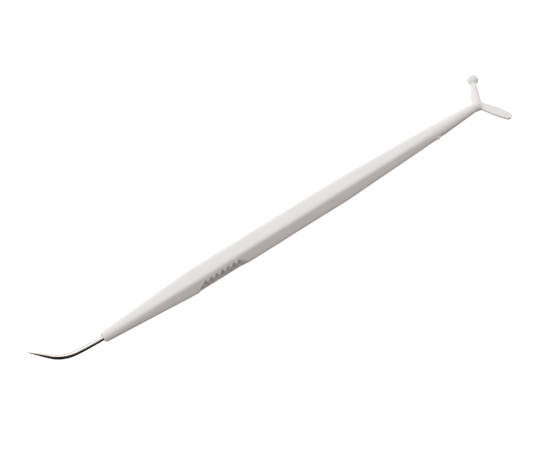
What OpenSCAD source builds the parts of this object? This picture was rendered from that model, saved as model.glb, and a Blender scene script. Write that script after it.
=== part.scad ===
// Dental explorer with a steel probe at one end and a moulded fork at the other.
// The handle lies along X on one flat of its hexagon. The steel probe points to -X and
// the fork to +X. The ball arm, and the bend of the probe, are on the +Y side.
// The origin is on the surface under the handle's axis, at the middle of the grip.

/* [Handle] */
// Length of the hexagonal handle, from its nose to its rear face
handle_length = 123; // [112:1:135]
// Length of the front taper, from the nose to the full section
front_taper_length = 32; // [28:1:36]
// Length of the finger grip, the fattest stretch of the handle
grip_length = 28.5; // [26:0.5:32]
// Length of the step down from the grip to the body
grip_step_length = 5.5; // [3:0.5:8]
// Distance from the nose to the start of the rear taper
rear_taper_start = 86; // [78:1:95]
// Size across the flats at the nose
nose_flats = 3.3; // [3.2:0.1:4]
// Size across the flats of the finger grip
grip_flats = 7.4; // [7:0.1:8]
// Size across the flats of the body behind the grip
body_flats = 7.25; // [6.8:0.05:7.4]
// Size across the flats at the rear face
rear_flats = 4.6; // [4.4:0.1:5]
// Radius of the long edges
edge_radius = 1.4; // [0.8:0.1:1.8]
// How far the nose is rounded off
nose_round = 1.1; // [0.6:0.1:1.2]
// Length over which the hexagon turns round at the rear, to meet the neck
rear_blend = 6; // [3:0.5:12]

/* [Finger rest] */
// Distance from the nose to the front end of the finger rest's flat
rest_start = 33; // [32:0.1:34]
// Length of the finger rest's flat
rest_length = 14.8; // [14.4:0.1:16]
// Slope of the ramp at each end of the flat, in degrees
rest_ramp_angle = 35; // [20:1:50]
// Distance from the handle's axis to the flat of the finger rest
rest_offset = 3; // [2.6:0.05:3.1]
// How far the flat of the finger rest leans to face downwards, in degrees
rest_lean = 10; // [0:1:12]
// Number of grip grooves across the finger rest
groove_count = 7; // [5:1:8]
// Distance from the nose to the middle of the first groove
groove_front = 34.5; // [34:0.1:35.2]
// Distance from one groove to the next
groove_pitch = 2.03; // [1.9:0.01:2.1]
// Radius of the half-round grooves
groove_radius = 0.6; // [0.4:0.05:0.7]
// Depth of the grooves below the flat
groove_depth = 0.55; // [0.2:0.05:0.6]
// How far the grooves run below the handle's axis, before they stop
groove_drop = 1.3; // [0.5:0.1:2]

/* [Steel probe] */
// Diameter of the steel wire
wire_diameter = 1.55; // [1.3:0.05:1.6]
// Length of wire held inside the nose of the handle
shank_length = 14; // [12:1:18]
// Width of the flattened wings that lock the shank in the plastic
wing_width = 2.2; // [1.8:0.1:2.4]
// Length of the wings
wing_length = 3; // [2:0.5:4]
// Thickness of the wings
wing_thickness = 0.6; // [0.4:0.1:0.8]
// Length of the gently curved shaft in front of the nose
shaft_length = 9; // [7:0.5:11]
// Angle through which the shaft turns
shaft_turn = 6; // [1:1:10]
// Radius of the main bend, at the middle of the wire
bend_radius = 11; // [9:0.5:14]
// Angle through which the main bend turns
bend_turn = 41; // [30:1:50]
// Length of the straight tip after the main bend
tip_length = 6.5; // [5:0.1:8]
// Length over which the wire tapers to its point
point_taper = 10.5; // [8:0.5:14]
// Diameter of the blunted point
point_diameter = 0.24; // [0.2:0.02:0.4]

/* [Fork] */
// Length of the round neck, from the handle's rear face to the fork's junction
neck_length = 15.7; // [13:0.1:18]
// Diameter of the neck at the handle
neck_root_diameter = 4.5; // [4:0.1:4.6]
// Length of the straight collar where the neck leaves the handle
collar_length = 1.5; // [1:0.5:6]
// Diameter of the neck at the junction
neck_end_diameter = 2.7; // [2.6:0.1:3.2]
// Angle between each arm of the fork and the handle's axis
arm_angle = 60; // [50:1:70]
// Distance from the junction to the centre of the ball
ball_distance = 9.65; // [8:0.05:11]
// Diameter of the ball
ball_diameter = 3.4; // [3:0.1:3.8]
// Diameter of the ball's arm at the junction
stem_root_diameter = 3.2; // [2.6:0.1:3.4]
// Diameter of the ball's arm where it meets the ball
stem_end_diameter = 1.6; // [1.3:0.1:1.8]
// Distance along the handle's axis from the junction to the root of the paddle
paddle_start = 0.6; // [0:0.1:1]
// Distance from the paddle's root to its rounded end
paddle_length = 11; // [10:0.1:13]
// Width of the paddle at its widest
paddle_width = 2.9; // [2.4:0.1:3.2]
// Width of the paddle at its root
paddle_root_width = 2; // [1.4:0.1:2.4]
// Thickness of the paddle
paddle_thickness = 1; // [0.8:0.1:1.2]
// Thickness of the paddle's root
paddle_root_thickness = 1.4; // [1.2:0.1:2.4]
// Length over which the root thins to the thickness of the paddle
paddle_thinning = 3.5; // [2:0.5:6]
// Diameter of the shallow dimple near the paddle's end
dimple_diameter = 1; // [0.6:0.1:1.2]
// Depth of the dimple
dimple_depth = 0.15; // [0.1:0.05:0.3]

/* [Joint between fork and handle] */
// Diameter of the plug that fits inside the handle
plug_diameter = 3; // [2.8:0.1:3.1]
// Length of the plug
plug_length = 13; // [10:1:16]
// Length of each snap lug along the handle
lug_length = 2.3; // [2:0.1:2.6]
// Height of each snap lug, up and down
lug_height = 1.2; // [1:0.1:1.5]
// Distance from the axis to the crest of a snap lug
lug_reach = 2.8; // [2.7:0.05:3]
// How far a lug's ramp rises towards its crest
lug_rise = 0.45; // [0.2:0.05:0.6]
// Length of a lug's level crest
lug_crest = 0.6; // [0.4:0.1:1]
// Thickness of the handle's rim behind the lug windows
rear_rim = 0.6; // [0.5:0.1:0.8]

/* [Hidden] */

plastic_white = [0.93, 0.92, 0.91];
steel_grey = [0.72, 0.71, 0.70];

// The frame's origin is under the middle of the grip
origin_from_nose = front_taper_length + grip_length / 2;
axis_height = grip_flats / 2;

// A moulded or pressed joint keeps this gap all round, so that the solids only touch at end faces
fit_gap = 0.01;
// Smooth curves
curve_fn = 64;
edge_fn = 32;
// Cutters run past the surface that they open by this much
overrun = 1;

// Handle: steps round each of its six long edges, and rings along its rounded nose
edge_steps = 5;
nose_steps = 6;
// The nose's rounding is this much narrower than it is long
nose_narrowing = 0.6;
// A long edge's radius is never more than this share of the size across the flats
edge_limit = 0.45;

// Size across the flats at a distance from the nose along the front taper
function taper_flats(x) = nose_flats + (grip_flats - nose_flats) * x / front_taper_length;

// Size across the flats at a distance from the nose along the rear taper
function rear_taper_flats(x) =
    body_flats + (rear_flats - body_flats) * (x - rear_taper_start) / (handle_length - rear_taper_start);

// Sections of the handle, each a distance from the nose, a size across the flats and an edge radius
NOSE_SECTIONS = [for (i = [0 : nose_steps])
    let (t = 90 * i / nose_steps, x = nose_round * (1 - cos(t)))
    [x, taper_flats(x) - 2 * nose_narrowing * nose_round * (1 - sin(t)), edge_radius]];
BODY_SECTIONS = [
    [front_taper_length, grip_flats, edge_radius],
    [front_taper_length + grip_length, grip_flats, edge_radius],
    [front_taper_length + grip_length + grip_step_length, body_flats, edge_radius],
    [rear_taper_start, body_flats, edge_radius],
    [handle_length - rear_blend, rear_taper_flats(handle_length - rear_blend), edge_radius],
    [handle_length, rear_flats, edge_limit * rear_flats],
];

// Probe: lengths along the wire's centre line, measured from the nose
shaft_radius = shaft_length / (shaft_turn * PI / 180);
bend_length = bend_radius * bend_turn * PI / 180;
wire_length = shaft_length + bend_length + tip_length;
wire_sides = 20;
wire_rings = 40;

// Fork: where its arms meet, where the paddle is widest, and how wide its rounded end is
junction_x = handle_length + neck_length;
widest_at = 0.55 * paddle_length;
paddle_end_width = 0.88 * paddle_width;

// Snap lugs: their ends, as distances from the nose
lug_end = handle_length - rear_rim;
lug_start = lug_end - lug_length;

// Puts a shape drawn about the handle's axis, with its nose at x = 0, into the part's frame
module placed() {
    translate([-origin_from_nose, 0, axis_height]) children();
}

// Turns a shape drawn along Z so that it runs along X
module along_x() {
    rotate([0, 90, 0]) children();
}

// Skins a row of rings, each a closed loop of the same number of points, and caps both ends
module skin(rings) {
    count = len(rings[0]);
    last = (len(rings) - 1) * count;
    sides = [for (i = [0 : len(rings) - 2], k = [0 : count - 1])
        let (next = (k + 1) % count, low = i * count, high = low + count)
        [low + k, low + next, high + next, high + k]];
    start_cap = [for (k = [count - 1 : -1 : 0]) k];
    end_cap = [for (k = [0 : count - 1]) last + k];
    polyhedron(points = [for (ring = rings) each ring], faces = concat([start_cap], sides, [end_cap]));
}

// ---- Handle ----

// Ring of a hexagon with rounded corners, two of them on the Y axis, at x from the nose
function hexagon_ring(x, flats, edge) =
    let (radius = min(edge, edge_limit * flats), corner_distance = (flats / 2 - radius) / cos(30))
    [for (corner = [0 : -60 : -300], step = [0 : edge_steps])
        let (t = corner + 30 - 60 * step / edge_steps)
        [
            x,
            corner_distance * cos(corner) + radius * cos(t),
            corner_distance * sin(corner) + radius * sin(t),
        ]];

// Outside of the handle, lofted from one section to the next
module handle_outside() {
    skin([for (section = concat(NOSE_SECTIONS, BODY_SECTIONS))
        hexagon_ring(section[0], section[1], section[2])]);
}

// Cutter for the finger rest: a flat with a ramp at each end and grooves across it
module finger_rest_cutter() {
    rest_end = rest_start + rest_length;
    reach = grip_flats;
    ramp_rise = reach - rest_offset;
    ramp_run = ramp_rise / tan(rest_ramp_angle);
    rotate([rest_lean, 0, 0]) {
        linear_extrude(2 * reach, center = true) polygon([
            [rest_start - ramp_run, -rest_offset - ramp_rise],
            [rest_start, -rest_offset],
            [rest_end, -rest_offset],
            [rest_end + ramp_run, -rest_offset - ramp_rise],
        ]);
        for (i = [0 : groove_count - 1]) {
            translate([
                groove_front + i * groove_pitch,
                groove_depth - groove_radius - rest_offset,
                -groove_drop])
                cylinder(h = reach, r = groove_radius, $fn = edge_fn);
        }
    }
}

// Window in the handle's wall for one snap lug, on the +Y side
module lug_window() {
    translate([lug_start - fit_gap, 0, -lug_height / 2 - fit_gap])
        cube([lug_length + 2 * fit_gap, lug_reach + overrun, lug_height + 2 * fit_gap]);
}

module handle() {
    color(plastic_white) placed() difference() {
        handle_outside();
        finger_rest_cutter();
        probe_shank(fit_gap, overrun);
        // Socket for the fork's plug, open at the rear face
        translate([handle_length - plug_length, 0, 0])
            along_x() cylinder(h = plug_length + overrun, d = plug_diameter + 2 * fit_gap, $fn = curve_fn);
        lug_window();
        mirror([0, 1, 0]) lug_window();
    }
}

// ---- Steel probe ----

// Direction of the wire at a distance s from the nose, as an angle from -X towards +Y
function wire_angle(s) =
    s < shaft_length ? shaft_turn * s / shaft_length
    : s < shaft_length + bend_length ? shaft_turn + bend_turn * (s - shaft_length) / bend_length
    : shaft_turn + bend_turn;

// Centre of an arc that starts at the point from, in the direction start_angle
function arc_point(from, radius, start_angle, angle) =
    from + radius * [sin(start_angle) - sin(angle), cos(start_angle) - cos(angle)];

shaft_end = arc_point([0, 0], shaft_radius, 0, shaft_turn);
bend_end = arc_point(shaft_end, bend_radius, shaft_turn, shaft_turn + bend_turn);

// Point on the wire's centre line at a distance s from the nose
function wire_point(s) =
    s < shaft_length ? arc_point([0, 0], shaft_radius, 0, wire_angle(s))
    : s < shaft_length + bend_length ? arc_point(shaft_end, bend_radius, shaft_turn, wire_angle(s))
    : bend_end + (s - shaft_length - bend_length)
        * [-cos(shaft_turn + bend_turn), sin(shaft_turn + bend_turn)];

// Radius of the wire at a distance s from the nose
function wire_radius(s) =
    let (left = wire_length - s)
    left > point_taper ? wire_diameter / 2
    : point_diameter / 2 + (wire_diameter - point_diameter) / 2 * sin(90 * left / point_taper);

// One ring of points round the wire at a distance s from the nose
function wire_ring(s) =
    let (p = wire_point(s), a = wire_angle(s), r = wire_radius(s))
    [for (k = [0 : wire_sides - 1])
        let (t = 360 * k / wire_sides)
        [p.x + r * cos(t) * sin(a), p.y + r * cos(t) * cos(a), r * sin(t)]];

// Wire outside the handle, from the nose to the point
module bent_wire() {
    skin([for (i = [0 : wire_rings]) wire_ring(wire_length * i / wire_rings)]);
}

// Part of the wire inside the nose, with two flattened wings. To cut its seat, gap widens it
// all round and past carries it on through the nose.
module probe_shank(gap = 0, past = 0) {
    translate([-past, 0, 0])
        along_x() cylinder(h = shank_length + past, d = wire_diameter + 2 * gap, $fn = curve_fn);
    translate([shank_length / 2, -wing_thickness / 2 - gap, -wing_width / 2 - gap])
        cube([wing_length + gap, wing_thickness + 2 * gap, wing_width + 2 * gap]);
}

module steel_probe() {
    color(steel_grey) placed() {
        bent_wire();
        probe_shank();
    }
}

// ---- Fork ----

// Snap lug on the +Y side of the plug, with a ramp that rises towards its crest
module snap_lug() {
    translate([0, 0, -lug_height / 2]) linear_extrude(lug_height) polygon([
        [lug_start, 0],
        [lug_start, lug_reach - lug_rise],
        [lug_end - lug_crest, lug_reach],
        [lug_end, lug_reach],
        [lug_end, 0],
    ]);
}

// Round neck, a straight collar and then a taper to the junction
module neck() {
    translate([handle_length, 0, 0]) along_x() {
        cylinder(h = collar_length, d = neck_root_diameter, $fn = curve_fn);
        translate([0, 0, collar_length]) cylinder(
            h = neck_length - collar_length,
            d1 = neck_root_diameter,
            d2 = neck_end_diameter,
            $fn = curve_fn);
    }
}

// Arm that ends in the ball, drawn from the junction along X
module ball_arm() {
    along_x() cylinder(h = ball_distance, d1 = stem_root_diameter, d2 = stem_end_diameter, $fn = curve_fn);
    translate([ball_distance, 0, 0]) sphere(d = ball_diameter, $fn = curve_fn);
}

// Round shape of a diameter, centred at x along an arm
module disc(x, d) {
    translate([x, 0]) circle(d = d, $fn = edge_fn);
}

// Outline of the paddle, drawn from its root along X
module paddle_outline() {
    hull() {
        disc(0, paddle_root_width);
        disc(widest_at, paddle_width);
    }
    hull() {
        disc(widest_at, paddle_width);
        disc(paddle_length - paddle_end_width / 2, paddle_end_width);
    }
}

// Wedge that thickens the paddle's root where it leaves the junction
module paddle_root() {
    rotate([90, 0, 0]) linear_extrude(paddle_root_width, center = true) polygon([
        [0, -paddle_root_thickness / 2],
        [paddle_thinning, -paddle_thickness / 2],
        [paddle_thinning, paddle_thickness / 2],
        [0, paddle_root_thickness / 2],
    ]);
}

// Arm that ends in the flat paddle, drawn from its root along X
module paddle_arm() {
    difference() {
        linear_extrude(paddle_thickness, center = true) paddle_outline();
        translate([paddle_length - paddle_end_width / 2, 0, paddle_thickness / 2 - dimple_depth])
            cylinder(h = overrun, d = dimple_diameter, $fn = curve_fn);
    }
    paddle_root();
}

module fork_end() {
    color(plastic_white) placed() {
        translate([handle_length - plug_length, 0, 0])
            along_x() cylinder(h = plug_length + overrun, d = plug_diameter, $fn = curve_fn);
        snap_lug();
        mirror([0, 1, 0]) snap_lug();
        neck();
        translate([junction_x, 0, 0]) {
            sphere(d = stem_root_diameter, $fn = curve_fn);
            rotate(arm_angle) ball_arm();
            translate([paddle_start, 0, 0]) rotate(-arm_angle) paddle_arm();
        }
    }
}

handle();
steel_probe();
fork_end();
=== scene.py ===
"""Looks of the dental explorer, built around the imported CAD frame.

The handle lies along X on one flat of its hexagon. The steel probe points to -X and the
fork to +X. The ball and the probe's point are on the +Y side. Everything is in metres.
"""

import math

import bmesh
import bpy
import numpy as np
from mathutils import Matrix, Vector


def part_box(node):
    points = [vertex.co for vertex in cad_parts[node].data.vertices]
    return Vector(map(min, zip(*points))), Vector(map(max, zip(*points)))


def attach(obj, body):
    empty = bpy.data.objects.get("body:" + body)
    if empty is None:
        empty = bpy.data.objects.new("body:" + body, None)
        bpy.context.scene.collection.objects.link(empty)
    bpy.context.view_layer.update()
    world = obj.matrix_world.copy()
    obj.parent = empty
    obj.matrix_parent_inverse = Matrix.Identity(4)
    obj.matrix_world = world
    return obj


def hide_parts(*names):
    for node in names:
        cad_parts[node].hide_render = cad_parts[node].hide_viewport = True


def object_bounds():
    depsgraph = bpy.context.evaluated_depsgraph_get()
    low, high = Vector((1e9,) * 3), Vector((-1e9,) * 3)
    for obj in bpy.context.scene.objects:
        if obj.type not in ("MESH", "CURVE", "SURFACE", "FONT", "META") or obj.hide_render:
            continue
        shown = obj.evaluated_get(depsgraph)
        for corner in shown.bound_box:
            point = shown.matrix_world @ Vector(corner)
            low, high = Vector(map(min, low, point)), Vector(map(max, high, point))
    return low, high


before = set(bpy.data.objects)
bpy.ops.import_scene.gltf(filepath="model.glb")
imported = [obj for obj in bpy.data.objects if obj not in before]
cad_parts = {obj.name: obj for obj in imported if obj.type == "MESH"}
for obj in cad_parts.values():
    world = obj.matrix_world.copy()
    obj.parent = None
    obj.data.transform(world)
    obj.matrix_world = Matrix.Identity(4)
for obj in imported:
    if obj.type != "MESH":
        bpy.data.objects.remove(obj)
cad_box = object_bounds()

MM = 0.001

# ---- Places taken from the frame ----

HANDLE_LOW, HANDLE_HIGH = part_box("handle")
NOSE_X = HANDLE_LOW.x
REAR_X = HANDLE_HIGH.x
AXIS_Z = (HANDLE_LOW.z + HANDLE_HIGH.z) / 2
GRIP_FLATS = HANDLE_HIGH.z - HANDLE_LOW.z
HANDLE_LENGTH = REAR_X - NOSE_X
CENTRE = (cad_box[0] + cad_box[1]) / 2

# ---- Handle: lengths from the nose, and sizes across the flats ----

FRONT_TAPER = 32 * MM
GRIP_END = 60.5 * MM
BODY_START = 66 * MM
REAR_TAPER = 86 * MM
NOSE_FLATS = 3.3 * MM
BODY_FLATS = 7.25 * MM
REAR_FLATS = 4.6 * MM
NOSE_ROUND = 1.1 * MM
NOSE_INSET = 0.66 * MM
NOSE_BLEND_START = 2 * MM
NOSE_BLEND_END = 26 * MM
NOSE_ROUND_SHARE = 0.6
REAR_EDGE = 0.005 * MM
REAR_BLEND = 7 * MM
REAR_ROUND = 2.3 * MM
CORNER_SIZE = 0.29 * MM
ROUND_STEPS = 120
HANDLE_SHARP_ANGLE = math.radians(38)
SEAT_EDGE = 0.06 * MM
FIT_GAP = 0.02 * MM

# ---- Finger rest ----

REST_START = 33 * MM
REST_END = 47.8 * MM
REST_SLOPE = 0.7
REST_OFFSET = 3.01 * MM
REST_LEAN = math.radians(10)
REST_EDGE_POWER = 28
GROOVE_COUNT = 7
GROOVE_PITCH = 2.03 * MM
GROOVE_FRONT = 34.5 * MM
GROOVE_HALF_WIDTH = 0.6 * MM
GROOVE_DEPTH = 0.55 * MM
GROOVE_DROP = 1.3 * MM
GROOVE_END_BLEND = 0.15 * MM
REST_STEP = 0.085 * MM
REST_MARGIN = 2.3 * MM

# ---- Snap lugs ----

LUG_START = 120.1 * MM
LUG_END = 122.4 * MM
LUG_HEIGHT = 1.2 * MM
LUG_REACH = 2.8 * MM
LUG_RISE = 0.45 * MM
LUG_CREST = 0.6 * MM
LUG_EDGE = 0.5 * MM
WINDOW_STEPS = 5
WINDOW_GAP = 0.04 * MM

# ---- Steel probe ----

WIRE_RADIUS = 0.775 * MM
SHANK_LENGTH = 14 * MM
SHAFT_LENGTH = 9 * MM
SHAFT_TURN = math.radians(6)
BEND_RADIUS = 11 * MM
BEND_TURN = math.radians(41)
TIP_LENGTH = 6.5 * MM
POINT_TAPER = 10.5 * MM
POINT_RADIUS = 0.12 * MM
WIRE_SIDES = 40
WIRE_STEPS = 150
TIP_STEPS = 8
TIP_ROUNDING = 0.3 * MM

# ---- Fork ----

NECK_LENGTH = 15.7 * MM
COLLAR_LENGTH = 1.5 * MM
NECK_ROOT_RADIUS = 2.29 * MM
NECK_END_RADIUS = 1.35 * MM
PLUG_RADIUS = 1.49 * MM
PLUG_LENGTH = 13 * MM
ARM_ANGLE = math.radians(60)
BALL_DISTANCE = 9.64 * MM
BALL_RADIUS = 1.7 * MM
STEM_ROOT_RADIUS = 1.65 * MM
STEM_END_RADIUS = 0.77 * MM
PADDLE_START = 0.6 * MM
PADDLE_LENGTH = 10.9 * MM
PADDLE_HALF_WIDTH = 1.46 * MM
PADDLE_END_RADIUS = 1.22 * MM
PADDLE_WIDEST = 0.5 * PADDLE_LENGTH
PADDLE_WIDENING = -0.3 * PADDLE_WIDEST
PADDLE_ROOT_HALF_WIDTH = 0.95 * MM
PADDLE_THICKNESS = 1.0 * MM
PADDLE_ROOT_THICKNESS = 1.3 * MM
PADDLE_THINNING = 3.5 * MM
PADDLE_EDGE = 0.22 * MM
DIMPLE_RADIUS = 0.55 * MM
DIMPLE_DEPTH = 0.2 * MM
DIMPLE_BLEND = 0.08 * MM
ARM_BLEND = 0.65 * MM
BALL_BLEND = 0.35 * MM
ROOT_EDGE = 0.015 * MM
PLUG_OVERLAP = 1 * MM

# ---- Fork's mesh: a rough voxel mesh that is then drawn onto the true surface ----

STEM_SPARE = 1.04
PADDLE_SPARE = 0.12 * MM
PADDLE_FLATNESS = 0.45
PADDLE_ROOT_FLATNESS = 0.8
PADDLE_FLATTENING = 90  # per metre from the paddle's root
ROD_SIDES = 64
FORK_VOXEL = 0.11 * MM
ROOT_REACH = 0.6
SLOPE_STEP = 0.004 * MM
LEAST_STEEPNESS = 0.25
LONGEST_MOVE = 0.2 * MM

# ---- Materials and studio ----

PLASTIC_COLOURS = (0.775, 0.775, 0.768, 1), (0.825, 0.825, 0.832, 1)
PLASTIC_SCATTER = 0.1 * MM
NOISE_LOW = 0.3
NOISE_HIGH = 0.7
STEEL_COLOURS = (0.655, 0.62, 0.59, 1), (0.71, 0.675, 0.645, 1)
FLOOR_COLOUR = (0.25, 0.25, 0.25, 1)
FLOOR_GLOW = 0.95
FLOOR_REACH = 3.0
BRIGHT_SIDE = (-0.35, 0.88, 0.33)
MIRRORED_SIDE = (0.86, 0.376, 0.344)
BRIGHT_BORDER = (-0.15, 0.12)
MIRRORED_BORDER = (0.02, 0.3)
HORIZON_BORDER = (-0.4, 0.0)
FRONT_LIGHT = (0.34, 0.30, 0.275, 1)
LOW_LIGHT = (0.08, 0.075, 0.07, 1)
FRONT_REFLECTION = (0.016, 0.012, 0.01, 1)
BACK_LIGHT = (1.1, 1.08, 1.07, 1)
LIGHT_DISTANCE = 0.9
LIGHT_SIZE = 0.6
CAMERA_AZIMUTH = math.radians(-35.6)
CAMERA_ELEVATION = math.radians(59.8)
CAMERA_DISTANCE = 0.7
CAMERA_LENS = 155.6
CAMERA_AIM = Vector(((NOSE_X + REAR_X) / 2 + 0.34 * MM, 2.59 * MM, AXIS_Z))


# ---- Mesh helpers ----

def add_mesh(name, vertices, faces, sharp_degrees=None):
    """A smooth-shaded mesh object in the scene, with edges sharper than an angle kept sharp."""
    mesh = bpy.data.meshes.new(name)
    mesh.from_pydata([tuple(v) for v in vertices], [], faces)
    mesh.validate()
    mesh.polygons.foreach_set("use_smooth", [True] * len(mesh.polygons))
    if sharp_degrees is not None:
        mesh.set_sharp_from_angle(angle=math.radians(sharp_degrees))
    mesh.update()
    obj = bpy.data.objects.new(name, mesh)
    bpy.context.scene.collection.objects.link(obj)
    return obj


def grid_faces(rings, count):
    """Quads between rings of count points each, for rings that follow one another from -X to +X."""
    faces = []
    for i in range(rings - 1):
        low = i * count
        high = low + count
        for k in range(count):
            n = (k + 1) % count
            faces.append((low + k, low + n, high + n, high + k))
    return faces


def smoothstep(low, high, x):
    """0 below low, 1 above high, and a smooth rise between them."""
    t = np.clip((x - low) / (high - low), 0, 1)
    return t * t * (3 - 2 * t)


# ---- Handle ----

def flats_at(x):
    """Size across the flats at a distance x from the nose, smaller at the rounded nose and the rear edge."""
    stations = [0, FRONT_TAPER, GRIP_END, BODY_START, REAR_TAPER, HANDLE_LENGTH]
    sizes = [NOSE_FLATS, GRIP_FLATS, GRIP_FLATS, BODY_FLATS, BODY_FLATS, REAR_FLATS]
    flats = np.interp(x, stations, sizes)
    if x < NOSE_ROUND:
        flats -= 2 * NOSE_INSET * (1 - math.sqrt(1 - (1 - x / NOSE_ROUND) ** 2))
    if x > HANDLE_LENGTH - REAR_EDGE:
        flats -= x - (HANDLE_LENGTH - REAR_EDGE)
    return flats


def rest_distance(x):
    """Distance from the axis to the finger rest's flat, which slopes away from the axis past both ends."""
    return REST_OFFSET + REST_SLOPE * max(0, REST_START - x, x - REST_END)


def groove_at(x):
    """1 at the middle of a groove and 0 on the ribs between them."""
    places = [GROOVE_FRONT + i * GROOVE_PITCH for i in range(GROOVE_COUNT)]
    off = min(abs(x - place) for place in places) / GROOVE_HALF_WIDTH
    return math.sqrt(1 - off * off) if off < 1 else 0


def handle_section(x):
    """Points round the handle at a distance x from the nose.

    It is a hexagon with softly rounded corners, and the finger rest is cut off it. Towards the nose it
    turns partly round, and at the rear fully round.
    """
    turn = np.arange(ROUND_STEPS) * 2 * math.pi / ROUND_STEPS
    out = np.stack([np.cos(turn), np.sin(turn)], 1)
    apothem = flats_at(x) / 2
    power = apothem / CORNER_SIZE
    total = np.zeros(ROUND_STEPS)
    for side in range(6):
        angle = math.radians(30 + 60 * side)
        facing = out @ [math.cos(angle), math.sin(angle)]
        total += np.maximum(facing / apothem, 0) ** power
    hexagon = total ** (-1 / power)
    rest_facing = np.maximum(out @ [-math.cos(REST_LEAN), -math.sin(REST_LEAN)], 0.001)
    distance = rest_distance(x)
    height = out[:, 1] * distance / rest_facing
    above_end = smoothstep(-GROOVE_DROP - GROOVE_END_BLEND, -GROOVE_DROP + GROOVE_END_BLEND, height)
    depth = GROOVE_DEPTH * groove_at(x) * above_end
    flat = (distance - depth) / rest_facing
    radius = (hexagon ** -REST_EDGE_POWER + flat ** -REST_EDGE_POWER) ** (-1 / REST_EDGE_POWER)
    nose_share = NOSE_ROUND_SHARE * (1 - smoothstep(NOSE_BLEND_START, NOSE_BLEND_END, x))
    radius = radius * (1 - nose_share) + apothem * nose_share
    round_share = smoothstep(HANDLE_LENGTH - REAR_BLEND, HANDLE_LENGTH, x)
    round_radius = REAR_ROUND - (REAR_FLATS - flats_at(x)) / 2
    radius = radius * (1 - round_share) + round_radius * round_share
    return np.column_stack([
        np.full(ROUND_STEPS, NOSE_X + x), radius * out[:, 0], AXIS_Z + radius * out[:, 1]])


def handle_stations():
    """Distances from the nose at which the handle's sections are placed."""
    nose = [NOSE_ROUND * (1 - math.cos(math.radians(t))) for t in range(0, 91, 10)]
    taper = list(np.linspace(2 * MM, REST_START - REST_MARGIN - 0.1 * MM, 16))
    rest = list(np.arange(REST_START - REST_MARGIN, REST_END + REST_MARGIN, REST_STEP))
    grip = [x * MM for x in (51, 54, 57, 59, 60, 60.5, 61, 62, 64, 65, 65.5, 66, 66.5, 68)]
    body = [x * MM for x in (74, 80, 84, 85, 85.5, 86, 86.5, 87, 89)]
    rear = list(np.linspace(93 * MM, LUG_START - 1 * MM, 8))
    window = [LUG_START - WINDOW_GAP, LUG_END + WINDOW_GAP]
    end = [HANDLE_LENGTH - 0.3 * MM, HANDLE_LENGTH - REAR_EDGE, HANDLE_LENGTH]
    return nose + taper + rest + grip + body + rear + window + end


def ring(x, radius):
    """Round ring about the handle's axis."""
    turn = np.arange(ROUND_STEPS) * 2 * math.pi / ROUND_STEPS
    return np.column_stack([
        np.full(ROUND_STEPS, NOSE_X + x), radius * np.cos(turn), AXIS_Z + radius * np.sin(turn)])


def make_handle():
    """Hexagonal shell with a seat for the wire at its nose and a socket for the fork at its rear."""
    stations = handle_stations()
    seat_radius = WIRE_RADIUS + FIT_GAP
    socket_radius = PLUG_RADIUS + FIT_GAP
    rings = [ring(SHANK_LENGTH, seat_radius), ring(SEAT_EDGE, seat_radius), ring(0, seat_radius + SEAT_EDGE)]
    seat_rings = len(rings)
    rings += [handle_section(x) for x in stations]
    rings += [ring(HANDLE_LENGTH, socket_radius), ring(HANDLE_LENGTH - PLUG_LENGTH, socket_radius)]
    faces = grid_faces(len(rings), ROUND_STEPS)
    last = (len(rings) - 1) * ROUND_STEPS
    faces.append(tuple(range(ROUND_STEPS))[::-1])
    faces.append(tuple(range(last, last + ROUND_STEPS)))
    obj = add_mesh("handle_shell", np.concatenate(rings), faces)
    cut_windows(obj, seat_rings + stations.index(LUG_START - WINDOW_GAP))
    obj.data.set_sharp_from_angle(angle=HANDLE_SHARP_ANGLE)
    return obj


def cut_windows(obj, window_ring):
    """Pushes the wall in to the plug, as a pocket, where each of the two lugs comes through it."""
    mesh = bmesh.new()
    mesh.from_mesh(obj.data)
    mesh.faces.ensure_lookup_table()
    windows = []
    for middle in (0, ROUND_STEPS // 2):
        columns = [(middle + k) % ROUND_STEPS for k in range(-WINDOW_STEPS, WINDOW_STEPS)]
        windows.append([mesh.faces[window_ring * ROUND_STEPS + k] for k in columns])
    for window in windows:
        made = bmesh.ops.extrude_face_region(mesh, geom=window)
        bmesh.ops.delete(mesh, geom=window, context="FACES")
        for item in made["geom"]:
            if isinstance(item, bmesh.types.BMVert):
                item.co.y *= (PLUG_RADIUS + FIT_GAP) / abs(item.co.y)
    bmesh.ops.recalc_face_normals(mesh, faces=mesh.faces)
    mesh.to_mesh(obj.data)
    mesh.free()
    obj.data.polygons.foreach_set("use_smooth", [True] * len(obj.data.polygons))


# ---- Steel probe ----

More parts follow.
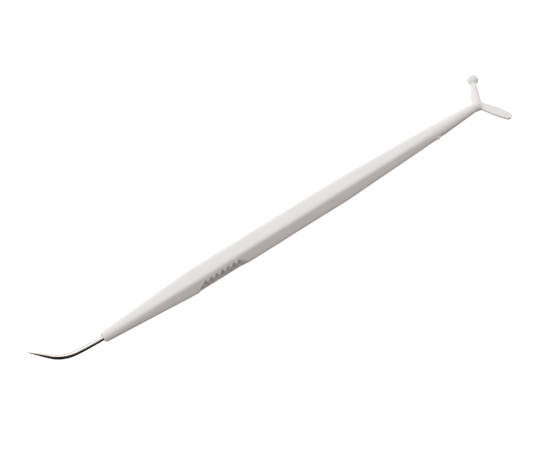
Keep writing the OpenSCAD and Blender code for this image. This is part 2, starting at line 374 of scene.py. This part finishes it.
def wire_path():
    """Rows of place, angle and radius along the wire from the nose to its point, in the frame's XY plane."""
    bend_length = BEND_RADIUS * BEND_TURN
    length = SHAFT_LENGTH + bend_length + TIP_LENGTH

    def angle_at(along):
        ends = [0, SHAFT_LENGTH, SHAFT_LENGTH + bend_length]
        return np.interp(along, ends, [0, SHAFT_TURN, SHAFT_TURN + BEND_TURN])

    # Sum short straight steps to find the places
    fine = np.linspace(0, length, 4000)
    fine_angle = angle_at(fine)
    middle_angle = (fine_angle[1:] + fine_angle[:-1]) / 2
    step = fine[1] - fine[0]
    run = np.concatenate([[0], np.cumsum(np.cos(middle_angle)) * step])
    rise = np.concatenate([[0], np.cumsum(np.sin(middle_angle)) * step])
    # Rings stand closer together at the rounded point
    shaft = np.linspace(0, length - TIP_ROUNDING, WIRE_STEPS)
    tip = length - TIP_ROUNDING * (1 - np.linspace(0.1, 1, TIP_STEPS))
    along = np.concatenate([shaft, tip])
    to_taper = np.clip((length - along) / POINT_TAPER, 0, 1)
    radius = POINT_RADIUS + (WIRE_RADIUS - POINT_RADIUS) * np.sin(to_taper * math.pi / 2)
    to_end = np.clip((length - along) / POINT_RADIUS, 0, 1)
    radius = radius * np.sqrt(np.clip(1 - (1 - to_end) ** 2, 0.02, 1))
    return NOSE_X - np.interp(along, fine, run), np.interp(along, fine, rise), angle_at(along), radius


def make_probe():
    """Bent and tapered steel wire, with its straight shank inside the nose."""
    x, y, angle, radius = wire_path()
    x = np.concatenate([[NOSE_X + SHANK_LENGTH], x])
    y = np.concatenate([[0], y])
    angle = np.concatenate([[0], angle])
    radius = np.concatenate([[WIRE_RADIUS], radius])
    turn = np.arange(WIRE_SIDES) * 2 * math.pi / WIRE_SIDES
    rings = []
    for px, py, a, r in zip(x, y, angle, radius):
        rings.append(np.column_stack([
            px + r * np.cos(turn) * math.sin(a),
            py + r * np.cos(turn) * math.cos(a),
            AXIS_Z + r * np.sin(turn)]))
    # These rings run from +X to -X, so their faces are turned over
    faces = [tuple(reversed(face)) for face in grid_faces(len(rings), WIRE_SIDES)]
    last = (len(rings) - 1) * WIRE_SIDES
    faces.append(tuple(range(WIRE_SIDES)))
    faces.append(tuple(range(last, last + WIRE_SIDES))[::-1])
    return add_mesh("probe_wire", np.concatenate(rings), faces, sharp_degrees=50)


# ---- Fork: one moulded shape, described by its distance field ----

JUNCTION = np.array([REAR_X + NECK_LENGTH, 0, AXIS_Z])
BALL_WAY = np.array([math.cos(ARM_ANGLE), math.sin(ARM_ANGLE), 0])
BALL_CENTRE = JUNCTION + BALL_WAY * BALL_DISTANCE
PADDLE_ROOT = JUNCTION + np.array([PADDLE_START, 0, 0])
PADDLE_WAY = np.array([math.cos(ARM_ANGLE), -math.sin(ARM_ANGLE), 0])
PADDLE_SIDE = np.array([math.sin(ARM_ANGLE), math.cos(ARM_ANGLE), 0])


def smooth_least(a, b, k):
    """The smaller of two distances, blended over about k where they are alike."""
    h = np.clip(0.5 + 0.5 * (b - a) / k, 0, 1)
    return b + (a - b) * h - k * h * (1 - h)


def soft_box(edge, *sides):
    """Distance to where all the sides are below 0, with edges of that radius."""
    moved = [side + edge for side in sides]
    outside = np.sqrt(sum(np.maximum(side, 0) ** 2 for side in moved))
    return outside + np.minimum(np.maximum.reduce(moved), 0) - edge


def rod_distance(p, start, end, r1, r2):
    """Distance to a round-ended rod whose radius goes from r1 to r2."""
    way = end - start
    t = np.clip((p - start) @ way / (way @ way), 0, 1)
    return np.linalg.norm(p - start - t[:, None] * way, axis=1) - (r1 + (r2 - r1) * t)


def neck_distance(p):
    """Distance to the neck: a collar at the handle's rear face, a taper, and a round end at the junction."""
    along = p[:, 0] - REAR_X
    share = np.clip((along - COLLAR_LENGTH) / (NECK_LENGTH - COLLAR_LENGTH), 0, 1)
    radius = NECK_ROOT_RADIUS + (NECK_END_RADIUS - NECK_ROOT_RADIUS) * share
    past_end = np.maximum(along - NECK_LENGTH, 0)
    from_axis = np.sqrt(past_end ** 2 + p[:, 1] ** 2 + (p[:, 2] - AXIS_Z) ** 2)
    return np.maximum(from_axis - radius, -along)


def ball_arm_distance(p):
    """Distance to the arm that carries the ball."""
    stem = rod_distance(p, JUNCTION, BALL_CENTRE, STEM_ROOT_RADIUS, STEM_END_RADIUS)
    ball = np.linalg.norm(p - BALL_CENTRE, axis=1) - BALL_RADIUS
    return smooth_least(stem, ball, BALL_BLEND)


def paddle_distance(p):
    """Distance to the flat paddle, with soft edges and a shallow dimple near its end."""
    along = (p - PADDLE_ROOT) @ PADDLE_WAY
    across = (p - PADDLE_ROOT) @ PADDLE_SIDE
    end = PADDLE_LENGTH - PADDLE_END_RADIUS
    middle = np.clip(along, 0, end)
    widening = smoothstep(PADDLE_WIDENING, PADDLE_WIDEST, middle)
    narrowing = smoothstep(PADDLE_WIDEST, 2 * end - PADDLE_WIDEST, middle)
    half_width = PADDLE_ROOT_HALF_WIDTH + (PADDLE_HALF_WIDTH - PADDLE_ROOT_HALF_WIDTH) * widening
    half_width = half_width - 2 * (PADDLE_HALF_WIDTH - PADDLE_END_RADIUS) * narrowing
    outline = np.hypot(along - middle, across) - half_width
    root_share = 1 - smoothstep(0, PADDLE_THINNING, along)
    extra = (PADDLE_ROOT_THICKNESS - PADDLE_THICKNESS) / 2 * root_share
    slab = soft_box(PADDLE_EDGE + extra, outline, np.abs(p[:, 2] - AXIS_Z) - PADDLE_THICKNESS / 2 - extra)
    dimple_sphere = (DIMPLE_RADIUS ** 2 + DIMPLE_DEPTH ** 2) / (2 * DIMPLE_DEPTH)
    dimple = PADDLE_ROOT + PADDLE_WAY * end
    dimple = dimple + np.array([0, 0, PADDLE_THICKNESS / 2 - DIMPLE_DEPTH + dimple_sphere])
    hollow = np.linalg.norm(p - dimple, axis=1) - dimple_sphere
    return -smooth_least(-slab, hollow, DIMPLE_BLEND)


def plug_distance(p):
    """Distance to the plug and its two snap lugs."""
    from_axis = np.hypot(p[:, 1], p[:, 2] - AXIS_Z)
    along = p[:, 0] - NOSE_X
    plug = np.maximum(from_axis - PLUG_RADIUS, HANDLE_LENGTH - PLUG_LENGTH - along)
    plug = np.maximum(plug, along - HANDLE_LENGTH - PLUG_OVERLAP)
    crest_start = LUG_END - LUG_CREST
    reach = LUG_REACH - LUG_RISE * np.clip((crest_start - along) / (crest_start - LUG_START), 0, 1)
    outward = np.abs(p[:, 1]) - reach
    upward = np.abs(p[:, 2] - AXIS_Z) - LUG_HEIGHT / 2
    lengthwise = np.maximum(LUG_START - along, along - LUG_END)
    lug = soft_box(LUG_EDGE, outward, upward, lengthwise)
    return np.minimum(plug, lug)


def fork_distance(p):
    """Distance to the whole moulding."""
    arms = smooth_least(ball_arm_distance(p), paddle_distance(p), ARM_BLEND)
    solid = smooth_least(neck_distance(p), arms, ARM_BLEND)
    outside = soft_box(ROOT_EDGE, solid, REAR_X - p[:, 0])
    return np.minimum(outside, plug_distance(p))


def rough_fork():
    """Points and faces of a voxel mesh close to the moulding, ready to be drawn onto its true surface."""
    mesh = bpy.data.meshes.new("fork_rough")
    rough = bmesh.new()

    def ball_row(start, end, r1, r2):
        """Balls from start to end whose radius goes from r1 to r2."""
        for t in np.linspace(0, 1, 13):
            made = bmesh.ops.create_icosphere(rough, subdivisions=2, radius=(r1 + (r2 - r1) * t) * STEM_SPARE)
            bmesh.ops.translate(rough, verts=made["verts"], vec=Vector(start + (end - start) * t))

    def rod(low_x, high_x, low_radius, high_radius):
        """Rod about the handle's axis."""
        made = bmesh.ops.create_cone(
            rough, cap_ends=True, segments=ROD_SIDES,
            radius1=low_radius, radius2=high_radius, depth=high_x - low_x)
        bmesh.ops.rotate(rough, verts=made["verts"], matrix=Matrix.Rotation(math.pi / 2, 3, "Y"))
        bmesh.ops.translate(rough, verts=made["verts"], vec=Vector(((low_x + high_x) / 2, 0, AXIS_Z)))

    rod(REAR_X, JUNCTION[0], NECK_ROOT_RADIUS, NECK_END_RADIUS)
    ball_row(JUNCTION, BALL_CENTRE, STEM_ROOT_RADIUS, STEM_END_RADIUS)
    ball = bmesh.ops.create_icosphere(rough, subdivisions=3, radius=BALL_RADIUS)
    bmesh.ops.translate(rough, verts=ball["verts"], vec=Vector(BALL_CENTRE))
    for t in np.linspace(0, PADDLE_LENGTH - PADDLE_HALF_WIDTH, 14):
        made = bmesh.ops.create_icosphere(rough, subdivisions=3, radius=PADDLE_HALF_WIDTH + PADDLE_SPARE)
        flatness = max(PADDLE_FLATNESS, PADDLE_ROOT_FLATNESS - PADDLE_FLATTENING * t)
        bmesh.ops.scale(rough, verts=made["verts"], vec=(1, 1, flatness))
        bmesh.ops.translate(rough, verts=made["verts"], vec=Vector(PADDLE_ROOT + PADDLE_WAY * t))
    rod(REAR_X - PLUG_LENGTH, REAR_X + PLUG_OVERLAP, PLUG_RADIUS, PLUG_RADIUS)
    lug = bmesh.ops.create_cube(rough, size=1)
    bmesh.ops.scale(rough, verts=lug["verts"], vec=(LUG_END - LUG_START, 2 * LUG_REACH, LUG_HEIGHT))
    lug_middle = NOSE_X + (LUG_START + LUG_END) / 2
    bmesh.ops.translate(rough, verts=lug["verts"], vec=(lug_middle, 0, AXIS_Z))
    rough.to_mesh(mesh)
    rough.free()
    obj = bpy.data.objects.new("fork_rough", mesh)
    bpy.context.scene.collection.objects.link(obj)
    remesh = obj.modifiers.new("voxels", "REMESH")
    remesh.mode = "VOXEL"
    remesh.voxel_size = FORK_VOXEL
    graph = bpy.context.evaluated_depsgraph_get()
    made = obj.evaluated_get(graph).to_mesh()
    points = np.array([v.co for v in made.vertices])
    faces = [tuple(f.vertices) for f in made.polygons]
    bpy.data.objects.remove(obj)
    return points, faces


def drawn_to_surface(points, distance, rounds=8):
    """Moves points along the distance field's slope until they lie on its surface."""
    for _ in range(rounds):
        away = distance(points)
        slope = np.zeros_like(points)
        for axis in range(3):
            shift = np.zeros(3)
            shift[axis] = SLOPE_STEP
            slope[:, axis] = (distance(points + shift) - distance(points - shift)) / (2 * SLOPE_STEP)
        steepness = np.maximum((slope ** 2).sum(1), LEAST_STEEPNESS)
        move = np.clip(away, -LONGEST_MOVE, LONGEST_MOVE)
        points = points - move[:, None] * slope / steepness[:, None]
    return points


def crisp_root(points):
    """Sets the points beside the neck's root edge exactly on it, so that the joint line is clean."""
    near = ROOT_REACH * FORK_VOXEL
    from_axis = np.hypot(points[:, 1], points[:, 2] - AXIS_Z)
    beside = (np.abs(points[:, 0] - REAR_X) < near) & (from_axis > NECK_ROOT_RADIUS - near)
    stretch = NECK_ROOT_RADIUS / from_axis[beside]
    points[beside, 0] = REAR_X
    points[beside, 1] *= stretch
    points[beside, 2] = AXIS_Z + (points[beside, 2] - AXIS_Z) * stretch
    return points


def make_fork():
    """Neck, two arms, ball, paddle, plug and snap lugs as one smooth moulding."""
    points, faces = rough_fork()
    points = crisp_root(drawn_to_surface(points, fork_distance))
    return add_mesh("fork_moulding", points, faces, sharp_degrees=45)


# ---- Materials ----

def new_material(name):
    """Material with a Principled shader, its node tree and that shader."""
    material = bpy.data.materials.new(name)
    material.use_nodes = True
    tree = material.node_tree
    return material, tree, tree.nodes["Principled BSDF"]


def colour_input(node, name):
    """Colour socket of a mix node, which also has number and vector sockets of the same name."""
    return [socket for socket in node.inputs if socket.name == name and socket.type == "RGBA"][0]


def colour_output(node):
    """Colour result of a mix node."""
    return [socket for socket in node.outputs if socket.type == "RGBA"][0]


def colour_mix(tree, first, second):
    """Mix node between two colours."""
    mix = tree.nodes.new("ShaderNodeMix")
    mix.data_type = "RGBA"
    colour_input(mix, "A").default_value = first
    colour_input(mix, "B").default_value = second
    return mix


def noise(tree, size, stretch=1, detail=2):
    """Noise over the object's own space, with grains of a size in metres, drawn out along the handle."""
    place = tree.nodes.new("ShaderNodeTexCoord")
    mapping = tree.nodes.new("ShaderNodeMapping")
    mapping.inputs["Scale"].default_value = (1 / (size * stretch), 1 / size, 1 / size)
    grain = tree.nodes.new("ShaderNodeTexNoise")
    grain.inputs["Scale"].default_value = 1
    grain.inputs["Detail"].default_value = detail
    tree.links.new(place.outputs["Object"], mapping.inputs["Vector"])
    tree.links.new(mapping.outputs["Vector"], grain.inputs["Vector"])
    return grain.outputs["Fac"]


def varied_roughness(tree, shader, source, low, high):
    """Roughness that wanders between two values with a noise."""
    spread = tree.nodes.new("ShaderNodeMapRange")
    spread.inputs["From Min"].default_value = NOISE_LOW
    spread.inputs["From Max"].default_value = NOISE_HIGH
    spread.inputs["To Min"].default_value = low
    spread.inputs["To Max"].default_value = high
    tree.links.new(source, spread.inputs["Value"])
    tree.links.new(spread.outputs["Result"], shader.inputs["Roughness"])


def fine_relief(tree, shader, source, height, strength):
    """Bump of a height in metres, from a noise."""
    bump = tree.nodes.new("ShaderNodeBump")
    bump.inputs["Distance"].default_value = height
    bump.inputs["Strength"].default_value = strength
    tree.links.new(source, bump.inputs["Height"])
    tree.links.new(bump.outputs["Normal"], shader.inputs["Normal"])


def varied_colour(tree, shader, source, first, second):
    """Base colour that wanders between two colours with a noise."""
    mix = colour_mix(tree, first, second)
    tree.links.new(source, mix.inputs["Factor"])
    tree.links.new(colour_output(mix), shader.inputs["Base Color"])


def white_plastic(name):
    """Satin moulded white plastic: a fine mould texture, soft gloss changes and faint flow marks."""
    material, tree, shader = new_material(name)
    varied_colour(tree, shader, noise(tree, 3 * MM, stretch=6), *PLASTIC_COLOURS)
    varied_roughness(tree, shader, noise(tree, 1.2 * MM, stretch=2), low=0.35, high=0.5)
    fine_relief(tree, shader, noise(tree, 0.22 * MM, detail=3), height=0.012 * MM, strength=0.6)
    shader.inputs["IOR"].default_value = 1.49
    shader.inputs["Subsurface Weight"].default_value = 1
    shader.inputs["Subsurface Radius"].default_value = (1, 1, 1)
    shader.inputs["Subsurface Scale"].default_value = PLASTIC_SCATTER
    return material


def polished_steel(name):
    """Polished stainless steel wire, with fine grinding marks that run along it."""
    material, tree, shader = new_material(name)
    shader.inputs["Metallic"].default_value = 1
    varied_colour(tree, shader, noise(tree, 0.8 * MM, stretch=3), *STEEL_COLOURS)
    varied_roughness(tree, shader, noise(tree, 0.12 * MM, stretch=12), low=0.15, high=0.26)
    grinding = noise(tree, 0.06 * MM, stretch=20, detail=3)
    fine_relief(tree, shader, grinding, height=0.002 * MM, strength=0.4)
    return material


# ---- Stage, lights and camera ----

def make_floor():
    """Plain white floor, which the camera sees but which throws no light back onto the object."""
    reach = FLOOR_REACH
    corners = [(-reach, -reach, 0), (reach, -reach, 0), (reach, reach, 0), (-reach, reach, 0)]
    obj = add_mesh("floor", corners, [(0, 1, 2, 3)])
    material, tree, shader = new_material("white_floor")
    shader.inputs["Base Color"].default_value = FLOOR_COLOUR
    shader.inputs["Roughness"].default_value = 1
    shader.inputs["Emission Color"].default_value = (1, 1, 1, 1)
    shader.inputs["Emission Strength"].default_value = FLOOR_GLOW
    obj.data.materials.append(material)
    obj.visible_diffuse = False
    obj.visible_glossy = False
    obj.visible_shadow = False


def way_from(azimuth, elevation):
    """Direction from the object to a camera or light: azimuth 0 is in front, along -Y."""
    return Vector((
        math.sin(azimuth) * math.cos(elevation),
        -math.cos(azimuth) * math.cos(elevation),
        math.sin(elevation)))


def place_facing(obj, aim, way, distance):
    """Puts a camera or light at a distance from a place, looking at it."""
    obj.location = aim + way * distance
    obj.rotation_euler = (-way).to_track_quat("-Z", "Y").to_euler()
    bpy.context.scene.collection.objects.link(obj)


def soft_light(name, azimuth, elevation, power, color=(1, 1, 1)):
    """Square soft light that looks at the object, from a direction in degrees."""
    light = bpy.data.lights.new(name, "AREA")
    light.shape = "SQUARE"
    light.size = LIGHT_SIZE
    light.energy = power
    light.color = color
    obj = bpy.data.objects.new(name, light)
    place_facing(obj, CENTRE, way_from(math.radians(azimuth), math.radians(elevation)), LIGHT_DISTANCE)


def make_camera():
    """Camera above the finger-rest side, towards the probe, looking down on the instrument."""
    data = bpy.data.cameras.new("camera")
    data.sensor_width = 36
    data.lens = CAMERA_LENS
    data.clip_start = 0.01
    data.clip_end = 10
    obj = bpy.data.objects.new("camera", data)
    place_facing(obj, CAMERA_AIM, way_from(CAMERA_AZIMUTH, CAMERA_ELEVATION), CAMERA_DISTANCE)
    bpy.context.scene.camera = obj


def bright_share(tree, direction, side, low, high):
    """0 away from a side of the studio and 1 towards it, with a soft border."""
    facing = tree.nodes.new("ShaderNodeVectorMath")
    facing.operation = "DOT_PRODUCT"
    facing.inputs[1].default_value = side
    border = tree.nodes.new("ShaderNodeMapRange")
    border.interpolation_type = "SMOOTHSTEP"
    border.inputs["From Min"].default_value = low
    border.inputs["From Max"].default_value = high
    tree.links.new(direction, facing.inputs[0])
    tree.links.new(facing.outputs["Value"], border.inputs["Value"])
    return border.outputs["Result"]


def make_world():
    """Studio that is bright behind and above the object, and dim and warm in front of it."""
    world = bpy.data.worlds.new("studio")
    world.use_nodes = True
    tree = world.node_tree
    background = tree.nodes["Background"]
    place = tree.nodes.new("ShaderNodeTexCoord")
    path = tree.nodes.new("ShaderNodeLightPath")
    lit = bright_share(tree, place.outputs["Generated"], BRIGHT_SIDE, *BRIGHT_BORDER)
    mirrored = bright_share(tree, place.outputs["Generated"], MIRRORED_SIDE, *MIRRORED_BORDER)
    share = tree.nodes.new("ShaderNodeMix")
    tree.links.new(path.outputs["Is Glossy Ray"], share.inputs["Factor"])
    tree.links.new(lit, share.inputs["A"])
    tree.links.new(mirrored, share.inputs["B"])
    split = tree.nodes.new("ShaderNodeSeparateXYZ")
    horizon = tree.nodes.new("ShaderNodeMapRange")
    horizon.inputs["From Min"].default_value = HORIZON_BORDER[0]
    horizon.inputs["From Max"].default_value = HORIZON_BORDER[1]
    room = colour_mix(tree, LOW_LIGHT, FRONT_LIGHT)
    front = colour_mix(tree, FRONT_LIGHT, FRONT_REFLECTION)
    studio = colour_mix(tree, FRONT_LIGHT, BACK_LIGHT)
    tree.links.new(place.outputs["Generated"], split.inputs["Vector"])
    tree.links.new(split.outputs["Z"], horizon.inputs["Value"])
    tree.links.new(horizon.outputs["Result"], room.inputs["Factor"])
    tree.links.new(colour_output(room), colour_input(front, "A"))
    tree.links.new(path.outputs["Is Glossy Ray"], front.inputs["Factor"])
    tree.links.new(share.outputs["Result"], studio.inputs["Factor"])
    tree.links.new(colour_output(front), colour_input(studio, "A"))
    tree.links.new(colour_output(studio), background.inputs["Color"])
    bpy.context.scene.world = world


# ---- Assembly ----

make_camera()
make_world()
make_floor()
soft_light("key_above", azimuth=180, elevation=75, power=0.75)
soft_light("fill_right", azimuth=65, elevation=15, power=1.4, color=(1, 0.95, 0.92))

handle = make_handle()
handle.data.materials.append(white_plastic("handle_plastic"))
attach(handle, "root")
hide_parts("handle")

probe = make_probe()
probe.data.materials.append(polished_steel("probe_steel"))
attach(probe, "root")
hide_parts("steel_probe")

fork = make_fork()
fork.data.materials.append(white_plastic("fork_plastic"))
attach(fork, "root")
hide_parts("fork_end")

bpy.context.scene.view_settings.view_transform = "Standard"
